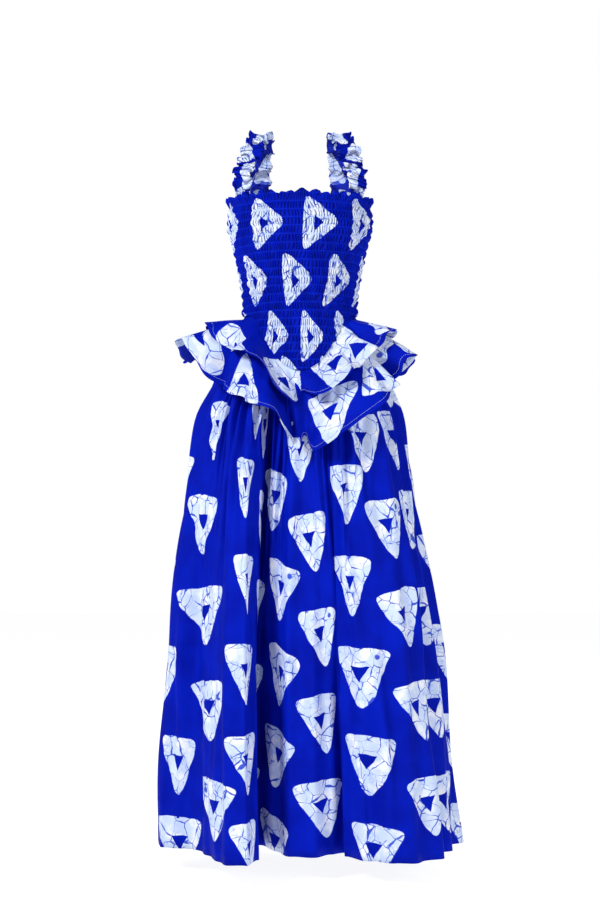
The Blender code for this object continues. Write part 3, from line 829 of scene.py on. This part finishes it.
def make_strap(name, side):
    along, across = grid(*STRAP_FINE)
    across = across * 2.0 - 1.0
    edge = np.abs(across)
    length = along * STRAP_LENGTH
    settle = ease(along / STRAP_SETTLE) * ease((1.0 - along) / STRAP_SETTLE)
    one_edge = wander(length, 0.0, 0.020, 31 + side)
    other_edge = wander(length, 0.0, 0.020, 41 + side)
    lobe = np.where(across > 0, one_edge, other_edge)
    wide = across * (1.0 + STRAP_EDGE_UNEVEN * settle * edge * lobe)
    points = strap(along, wide, side)
    out = grid_facing(points, float(side))
    crease = wander(length, across * 0.022, 0.016, 33 + side, 9)
    astray = 0.9 * wander(length, across * 0.02, 0.045, 35 + side)
    phase = length / STRAP_PUCKER + astray + 0.45 * across * side
    gather = np.cos(2 * np.pi * phase)
    relief = (0.0007 + 0.0005 * edge) * crease + (0.0017 + 0.0007 * edge) * gather
    points = points + out * (STRAP_LIFT + settle * relief)[..., None]
    flat = np.stack([along * STRAP_FLAT[0], across * STRAP_FLAT[1] / 2], axis=-1)
    if side < 0:
        points, flat, phase = points[::-1], flat[::-1], phase[::-1]
    centres = np.column_stack([STRAP_PRINT["along"] * STRAP_FLAT[0], STRAP_PRINT["across"],
                               STRAP_PRINT["angle"], np.ones(len(STRAP_PRINT["along"]))])
    # An even shirring value puts the whole strap inside a cell, so its pucker phase places painted shade in
    # the valleys between puckers
    return shell(name, points, flat, centres, [SHIRRED, REVERSE],
                 {"shirring": np.full(phase.shape, 0.5), "pucker": phase})


# Stitching

def stitches(name, surface, first_turn, last_turn, material):
    """A line of small stitches along a surface, as one mesh."""
    turns = np.linspace(first_turn, last_turn, 5001)
    line, out = surface(turns)
    steps = np.linalg.norm(np.diff(line, axis=0), axis=1)
    reached = np.concatenate([[0.0], np.cumsum(steps)])
    starts = np.arange(STITCH_STEP, reached[-1] - STITCH_STEP, STITCH_STEP)

    def at(values, places):
        return np.stack([np.interp(places, reached, values[:, k]) for k in range(3)], axis=-1)

    one, two = at(line, starts), at(line, starts + STITCH_LENGTH)
    lift = unit(at(out, starts)) * STITCH_RADIUS
    along = unit(two - one)
    wide = unit(np.cross(along, lift)) * STITCH_RADIUS
    middle_one, middle_two = one + (two - one) * 0.2, one + (two - one) * 0.8
    rings = [one, middle_one + lift, middle_one + wide, middle_one - lift, middle_one - wide,
             middle_two + lift, middle_two + wide, middle_two - lift, middle_two - wide, two]
    points = np.stack(rings, axis=1).reshape(-1, 3)
    pattern = []
    for k in range(4):
        after = (k + 1) % 4
        pattern.append((0, 1 + k, 1 + after))
        pattern.append((1 + k, 5 + k, 5 + after, 1 + after))
        pattern.append((9, 5 + after, 5 + k))
    faces = [tuple(len(rings) * stitch + corner for corner in face)
             for stitch in range(len(starts)) for face in pattern]
    mesh = bpy.data.meshes.new(name)
    mesh.from_pydata(points.tolist(), [], faces)
    mesh.materials.append(material)
    mesh.shade_smooth()
    piece = bpy.data.objects.new(name, mesh)
    bpy.context.scene.collection.objects.link(piece)
    return piece


def tier_stitch_line(layer):
    def line(turns):
        fallen = tier_length(turns, layer) - HEM_TURN
        point = tier_cloth(turns, fallen, layer)
        out = facing(lambda a, b: tier_cloth(a, b, layer), turns, fallen)
        return point + out * STITCH_LIFT, out
    return line


def skirt_stitch_line(turns):
    fallen = seam_height(turns) - HEM_HEIGHT - SKIRT_HEM_TURN
    point = skirt_cloth(turns, fallen)
    out = -facing(skirt_cloth, turns, fallen)
    return point + out * SKIRT_STITCH_LIFT, out


# Materials

def wax_print(name, shirred=False, reverse=False):
    """Wax print cotton. Its motif, veins and washes are formulas in the flat cloth's metres."""
    material = bpy.data.materials.new(name)
    material.use_nodes = True
    tree = material.node_tree
    nodes, links = tree.nodes, tree.links
    shader = nodes["Principled BSDF"]

    def feed(socket, value):
        if isinstance(value, bpy.types.NodeSocket):
            links.new(value, socket)
        else:
            socket.default_value = value

    def sum_of(kind, *values, clamp=False):
        made = nodes.new("ShaderNodeMath")
        made.operation = kind
        made.use_clamp = clamp
        for socket, value in zip(made.inputs, values):
            feed(socket, value)
        return made.outputs[0]

    def step(value, start, end):
        """A soft step that goes from 1 at start to 0 at end."""
        made = nodes.new("ShaderNodeMapRange")
        made.interpolation_type = "SMOOTHSTEP"
        feed(made.inputs["Value"], value)
        made.inputs["From Min"].default_value = start
        made.inputs["From Max"].default_value = end
        made.inputs["To Min"].default_value = 1.0
        made.inputs["To Max"].default_value = 0.0
        return made.outputs["Result"]

    def noise(vector, scale, detail=2.0, output="Fac"):
        made = nodes.new("ShaderNodeTexNoise")
        feed(made.inputs["Vector"], vector)
        made.inputs["Scale"].default_value = scale
        made.inputs["Detail"].default_value = detail
        return made.outputs[output]

    def cells(vector, scale, feature, output="Distance"):
        made = nodes.new("ShaderNodeTexVoronoi")
        made.feature = feature
        feed(made.inputs["Vector"], vector)
        made.inputs["Scale"].default_value = scale
        return made.outputs[output]

    def mix(share, one, two):
        made = nodes.new("ShaderNodeMix")
        made.data_type = "RGBA"
        feed(made.inputs["Factor"], share)
        feed(made.inputs["A"], one)
        feed(made.inputs["B"], two)
        return made.outputs["Result"]

    def moved(vector, by, amount):
        """A place moved by a noise colour, so lines drawn from it wander."""
        away = nodes.new("ShaderNodeVectorMath")
        away.operation = "MULTIPLY_ADD"
        feed(away.inputs[0], by)
        away.inputs[1].default_value = (amount, amount, 0.0)
        feed(away.inputs[2], vector)
        return away.outputs[0]

    def layer(name):
        made = nodes.new("ShaderNodeUVMap")
        made.uv_map = name
        return made.outputs["UV"]

    def attribute(name):
        made = nodes.new("ShaderNodeAttribute")
        made.attribute_name = name
        return made.outputs["Fac"]

    def sides(across, height, slant, tip):
        """How far a place lies outside the slanting sides that meet at a tip."""
        return sum_of("SUBTRACT", sum_of("MULTIPLY", across, slant[0]),
                      sum_of("MULTIPLY", sum_of("ADD", height, tip), slant[1]))

    def threads(direction):
        """Fine even threads across the flat cloth."""
        made = nodes.new("ShaderNodeTexWave")
        made.bands_direction = direction
        feed(made.inputs["Vector"], flat)
        made.inputs["Scale"].default_value = 700.0
        return made.outputs["Fac"]

    flat = layer("cloth")

    # The motif's outline and its triangle
    uneven = moved(layer("print"), noise(flat, 34.0, 1.0, "Color"), 0.0075)
    split = nodes.new("ShaderNodeSeparateXYZ")
    feed(split.inputs[0], uneven)
    x = sum_of("SUBTRACT", split.outputs["X"], 0.00375)
    y = sum_of("SUBTRACT", split.outputs["Y"], 0.00375)
    wide = sum_of("SQRT", sum_of("ADD", sum_of("MULTIPLY", x, x), 0.00011))
    top = sum_of("SUBTRACT", sum_of("ADD", y, sum_of("MULTIPLY", x, 0.06)), MOTIF_TOP)
    rounded = sum_of("SMOOTH_MAX", top, sides(wide, y, MOTIF_SLANT, MOTIF_TIP), MOTIF_ROUNDING)
    motif = step(sum_of("SUBTRACT", rounded, MOTIF_GROWTH), -0.0004, 0.0004)
    inner_x = sum_of("ABSOLUTE", sum_of("ADD", x, 0.003))
    inner = sum_of("MAXIMUM", sum_of("SUBTRACT", y, TRIANGLE_TOP),
                   sides(inner_x, y, TRIANGLE_SLANT, TRIANGLE_TIP))
    triangle = step(inner, -0.0003, 0.0003)

    # Veins where the wax cracked, blots at their knots, and a dot in one corner of some motifs
    bent = moved(flat, noise(flat, 17.0, 3.0, "Color"), 0.034)
    breaks = noise(flat, 33.0, 2.0)
    vein_edge = cells(bent, 29.0, "DISTANCE_TO_EDGE")
    width = sum_of("SUBTRACT", sum_of("MULTIPLY", sum_of("POWER", breaks, 4.0), 0.26), 0.007)
    vein = step(sum_of("SUBTRACT", vein_edge, width), 0.003, 0.015)
    hair_edge = cells(moved(flat, noise(flat, 26.0, 3.0, "Color"), 0.026), 62.0, "DISTANCE_TO_EDGE")
    hair_break = step(noise(flat, 28.0, 2.0), 0.64, 0.50)
    hair = sum_of("MULTIPLY", step(hair_edge, 0.012, 0.055), hair_break)
    cross_edge = cells(moved(flat, noise(flat, 12.0, 4.0, "Color"), 0.060), 19.0, "DISTANCE_TO_EDGE")
    cross_break = step(noise(flat, 24.0, 1.0), 0.56, 0.50)
    cross = sum_of("MULTIPLY", step(cross_edge, 0.003, 0.014), cross_break)
    blot_size = cells(bent, 52.0, "F1")
    blot = sum_of("MULTIPLY", step(blot_size, 0.10, 0.19), step(vein_edge, 0.05, 0.10))
    blot = sum_of("MULTIPLY", blot, step(noise(flat, 21.0, 1.0), 0.57, 0.51))
    corner = nodes.new("ShaderNodeVectorMath")
    corner.operation = "DISTANCE"
    feed(corner.inputs[0], uneven)
    corner.inputs[1].default_value = (0.034, 0.036, 0.0)
    dot = step(sum_of("ADD", corner.outputs["Value"], sum_of("MULTIPLY", breaks, 0.004)), 0.0055, 0.0085)
    dot = sum_of("MULTIPLY", dot, sum_of("GREATER_THAN", attribute("tone"), 0.62))
    ink = sum_of("MAXIMUM", sum_of("MAXIMUM", vein, blot), sum_of("MAXIMUM", dot, cross), clamp=True)

    # Colours
    pale = mix(step(noise(flat, 30.0, 3.0), 0.66, 0.44), PALE_WASHED, PALE)
    pale = mix(sum_of("MULTIPLY", hair, 0.62), pale, HAIR_BLUE)
    pale = mix(sum_of("MULTIPLY", ink, 0.93), pale, INK_BLUE)
    blue = mix(step(noise(flat, 14.0, 3.0), 0.70, 0.30), BLUE, BLUE_WASHED)
    shown = sum_of("MULTIPLY", motif, sum_of("SUBTRACT", 1.0, triangle))
    colour = mix(shown, blue, pale)
    if reverse:
        colour = mix(0.08, colour, REVERSE_BLUE)

    # The weave and the softest creases as relief, and on shirred cloth painted shade in the puckers'
    # valleys
    weave = sum_of("MULTIPLY", threads("X"), threads("Y"))
    crumple = noise(flat, 55.0, 4.0)
    long_way = nodes.new("ShaderNodeVectorMath")
    long_way.operation = "MULTIPLY"
    feed(long_way.inputs[0], flat)
    long_way.inputs[1].default_value = (1.0, 0.35, 1.0)
    crease = noise(long_way.outputs[0], 17.0, 3.0)
    relief = sum_of("ADD", sum_of("MULTIPLY", crumple, 0.9), sum_of("MULTIPLY", weave, 0.10))
    relief = sum_of("ADD", relief, sum_of("MULTIPLY", crease, 2.4))
    if shirred:
        from_row = sum_of("PINGPONG", attribute("shirring"), 0.5)
        cell = sum_of("SUBTRACT", 1.0, step(from_row, 0.03, 0.20))
        aside = sum_of("PINGPONG", attribute("pucker"), 0.5)
        fold = sum_of("SUBTRACT", 1.0, step(aside, 0.44, 0.22))
        # Painted shade: the valleys between puckers inside each cell are darkened towards the valley shade
        # blue
        valley_shade = sum_of("MULTIPLY", sum_of("SUBTRACT", 1.0, fold), cell)
        relief = sum_of("ADD", relief, sum_of("MULTIPLY", fold, sum_of("MULTIPLY", cell, 1.6)))
        colour = mix(sum_of("MULTIPLY", valley_shade, 0.95), colour, mix(0.76, colour, VALLEY_SHADE_BLUE))
        thread = sum_of("MULTIPLY", step(from_row, 0.02, 0.06), noise(flat, 60.0, 1.0))
        colour = mix(sum_of("MULTIPLY", thread, 0.40), colour, ELASTIC_BLUE)
    bump = nodes.new("ShaderNodeBump")
    bump.inputs["Distance"].default_value = 0.0016
    bump.inputs["Strength"].default_value = 0.35
    feed(bump.inputs["Height"], relief)
    links.new(bump.outputs["Normal"], shader.inputs["Normal"])
    links.new(colour, shader.inputs["Base Color"])
    rough = nodes.new("ShaderNodeMapRange")
    feed(rough.inputs["Value"], crumple)
    rough.inputs["To Min"].default_value = 0.58
    rough.inputs["To Max"].default_value = 0.74
    links.new(rough.outputs["Result"], shader.inputs["Roughness"])
    shader.inputs["Specular IOR Level"].default_value = 0.04
    return material


def thread_material(name, colour):
    material = bpy.data.materials.new(name)
    material.use_nodes = True
    nodes, links = material.node_tree.nodes, material.node_tree.links
    shader = nodes["Principled BSDF"]
    place = nodes.new("ShaderNodeTexCoord")
    fibre = nodes.new("ShaderNodeTexNoise")
    fibre.inputs["Scale"].default_value = 900.0
    links.new(place.outputs["Object"], fibre.inputs["Vector"])
    ramp = nodes.new("ShaderNodeMix")
    ramp.data_type = "RGBA"
    links.new(fibre.outputs["Fac"], ramp.inputs["Factor"])
    ramp.inputs["A"].default_value = tuple(0.75 * part for part in colour) + (1.0,)
    ramp.inputs["B"].default_value = tuple(colour) + (1.0,)
    links.new(ramp.outputs["Result"], shader.inputs["Base Color"])
    shader.inputs["Roughness"].default_value = 0.55
    return material


PRINTED = wax_print("printed_cotton")
SHIRRED = wax_print("shirred_cotton", shirred=True)
REVERSE = wax_print("reverse_of_cotton", reverse=True)
PALE_THREAD = thread_material("pale_thread", (0.62, 0.68, 0.85))
BLUE_THREAD = thread_material("blue_thread", (0.02, 0.06, 0.62))


def make_dress():
    left, right, round_again = BODICE_SEAMS
    for name, first, last in (("front", left, right), ("back", right, round_again)):
        piece = make_bodice("bodice_" + name + "_cloth", first, last)
        show(piece, "bodice_" + name)
        for layer, tier_name in ((1, "upper"), (2, "lower")):
            node = "peplum_" + tier_name + "_" + name
            piece = make_tier(node + "_cloth", first, last, layer)
            sewn = stitches(node + "_stitches", tier_stitch_line(layer), first, last, PALE_THREAD)
            show(piece, node, [sewn])
    left, right, round_again = SKIRT_SEAMS
    for name, first, last in (("front", left, right), ("back", right, round_again)):
        piece = make_skirt("skirt_" + name + "_cloth", first, last)
        sewn = stitches("skirt_" + name + "_stitches", skirt_stitch_line, first, last, BLUE_THREAD)
        show(piece, "skirt_" + name, [sewn])
    for name, side in (("left", 1), ("right", -1)):
        piece = make_strap("strap_" + name + "_cloth", side)
        show(piece, "strap_" + name)


def make_studio():
    """A pale floor, soft light and the camera."""
    bpy.ops.mesh.primitive_plane_add(size=14.0, location=(0.0, 0.0, up(0.0)))
    floor = bpy.context.object
    floor.name = "floor"
    pale = bpy.data.materials.new("pale_floor")
    pale.use_nodes = True
    plain = pale.node_tree.nodes["Principled BSDF"]
    plain.inputs["Base Color"].default_value = (0.30, 0.30, 0.30, 1.0)
    plain.inputs["Roughness"].default_value = 0.9
    plain.inputs["Emission Color"].default_value = (1.0, 1.0, 1.0, 1.0)
    plain.inputs["Emission Strength"].default_value = FLOOR_GLOW
    floor.data.materials.append(pale)

    world = bpy.data.worlds.new("studio")
    bpy.context.scene.world = world
    world.use_nodes = True
    nodes, links = world.node_tree.nodes, world.node_tree.links
    seen = nodes.new("ShaderNodeBackground")
    seen.inputs["Color"].default_value = (1.0, 1.0, 1.0, 1.0)
    seen.inputs["Strength"].default_value = 1.0
    lit = nodes["Background"]
    lit.inputs["Color"].default_value = (1.0, 1.0, 1.0, 1.0)
    lit.inputs["Strength"].default_value = SKY_LIGHT
    path = nodes.new("ShaderNodeLightPath")
    both = nodes.new("ShaderNodeMixShader")
    links.new(path.outputs["Is Camera Ray"], both.inputs["Fac"])
    links.new(lit.outputs["Background"], both.inputs[1])
    links.new(seen.outputs["Background"], both.inputs[2])
    links.new(both.outputs["Shader"], nodes["World Output"].inputs["Surface"])

    for name, place, size, power in (
        ("key", (-2.6, -2.8, 1.6), 1.1, 168.0),
        ("fill", (2.9, -2.9, 0.5), 1.6, 74.0),
        ("back", (0.4, 3.4, 1.4), 2.4, 70.0),
    ):
        lamp = bpy.data.lights.new(name, "AREA")
        lamp.size = size
        lamp.energy = power
        light = bpy.data.objects.new(name, lamp)
        bpy.context.scene.collection.objects.link(light)
        light.location = place
        aim = np.array(LAMP_AIM) - np.array(place)
        light.rotation_mode = "QUATERNION"
        light.rotation_quaternion = Vector(aim.tolist()).to_track_quat("-Z", "Y")

    view = bpy.data.cameras.new("camera")
    view.sensor_fit = "VERTICAL"
    view.sensor_height = SENSOR
    view.lens = CAMERA_BACK / (PHOTO_HEIGHT * METRES_A_PIXEL) * SENSOR
    camera = bpy.data.objects.new("camera", view)
    camera.location = (0.0, -CAMERA_BACK, up(CAMERA_HEIGHT))
    camera.rotation_euler = (np.pi / 2, 0.0, 0.0)
    bpy.context.scene.collection.objects.link(camera)
    bpy.context.scene.camera = camera
    bpy.context.scene.view_settings.view_transform = "Standard"


make_studio()
make_dress()
